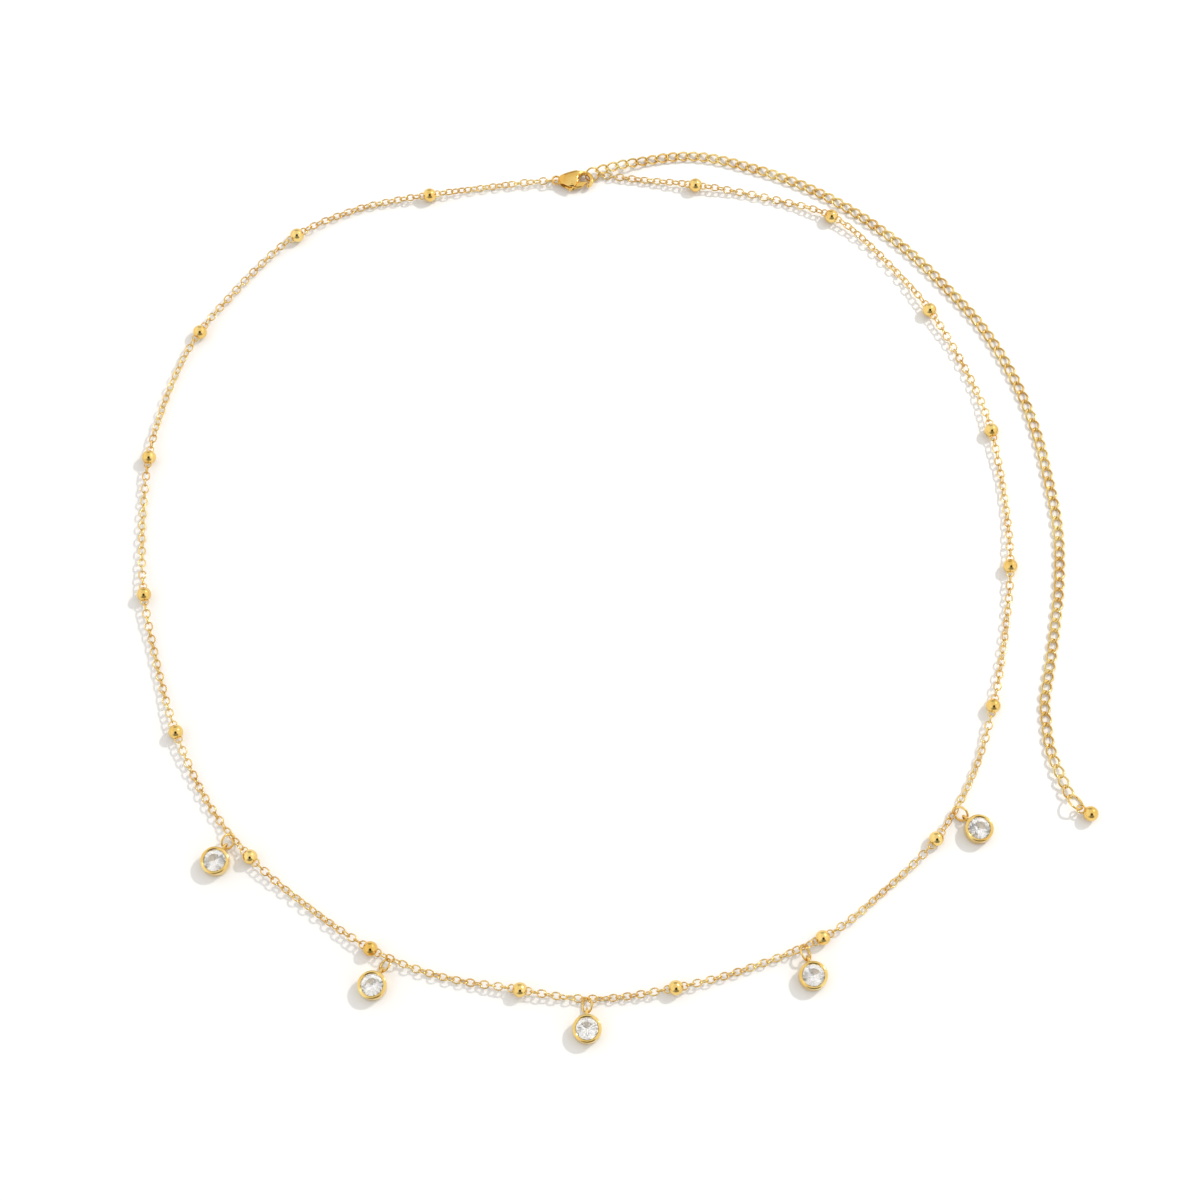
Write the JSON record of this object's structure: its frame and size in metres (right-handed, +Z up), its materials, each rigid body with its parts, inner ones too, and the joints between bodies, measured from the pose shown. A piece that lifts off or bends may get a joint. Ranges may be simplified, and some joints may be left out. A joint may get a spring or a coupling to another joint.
{
  "type": "waist chain",
  "caption": "Fine cable waist chain with polished ball stations, round crystal drops on jump rings, a lobster clasp and a long twisted-link extender.",
  "frame": {"origin": "on the surface that the chain lies on, under the middle of the whole piece", "axes": "+Z up from the surface, +Y towards the clasp, +X towards the extender's side"},
  "size_m": [0.2355, 0.2359, 0.0037],
  "materials": {
    "gold": "polished gold plate over brass",
    "gold_clasp": "polished gold plate over brass",
    "crystal": "polished facets"
  },
  "bodies": {
    "chain": {"chain_left_half": "gold", "chain_right_half": "gold", "bead_01": "gold", "bead_02": "gold", "bead_03": "gold", "bead_04": "gold", "bead_05": "gold", "bead_06": "gold", "bead_07": "gold", "bead_08": "gold", "bead_09": "gold", "bead_10": "gold", "bead_11": "gold", "bead_12": "gold", "bead_13": "gold", "bead_14": "gold", "bead_15": "gold", "bead_16": "gold", "bead_17": "gold", "bead_18": "gold", "drop_ring_1": "gold", "drop_ring_2": "gold", "drop_ring_3": "gold", "drop_ring_4": "gold", "drop_ring_5": "gold", "drop_setting_1": "gold", "drop_setting_2": "gold", "drop_setting_3": "gold", "drop_setting_4": "gold", "drop_setting_5": "gold", "drop_stone_1": "crystal", "drop_stone_2": "crystal", "drop_stone_3": "crystal", "drop_stone_4": "crystal", "drop_stone_5": "crystal", "clasp_body": "gold_clasp", "clasp_tail_ring": "gold", "clasp_hook_ring": "gold", "extender_chain": "gold", "extender_ring": "gold", "extender_ball": "gold"},
    "lever": {"clasp_lever": "gold_clasp"}
  },
  "joints": [
    {"name": "clasp_lever_hinge", "type": "hinge", "parent": "chain", "child": "lever", "pos_m": [-0.0102, 0.1079, 0.0015], "axis": [0, 0, 1], "range_deg": [0, 12], "stiffness_Nm_per_rad": 0.0004, "springref_deg": -8.59}
  ]
}
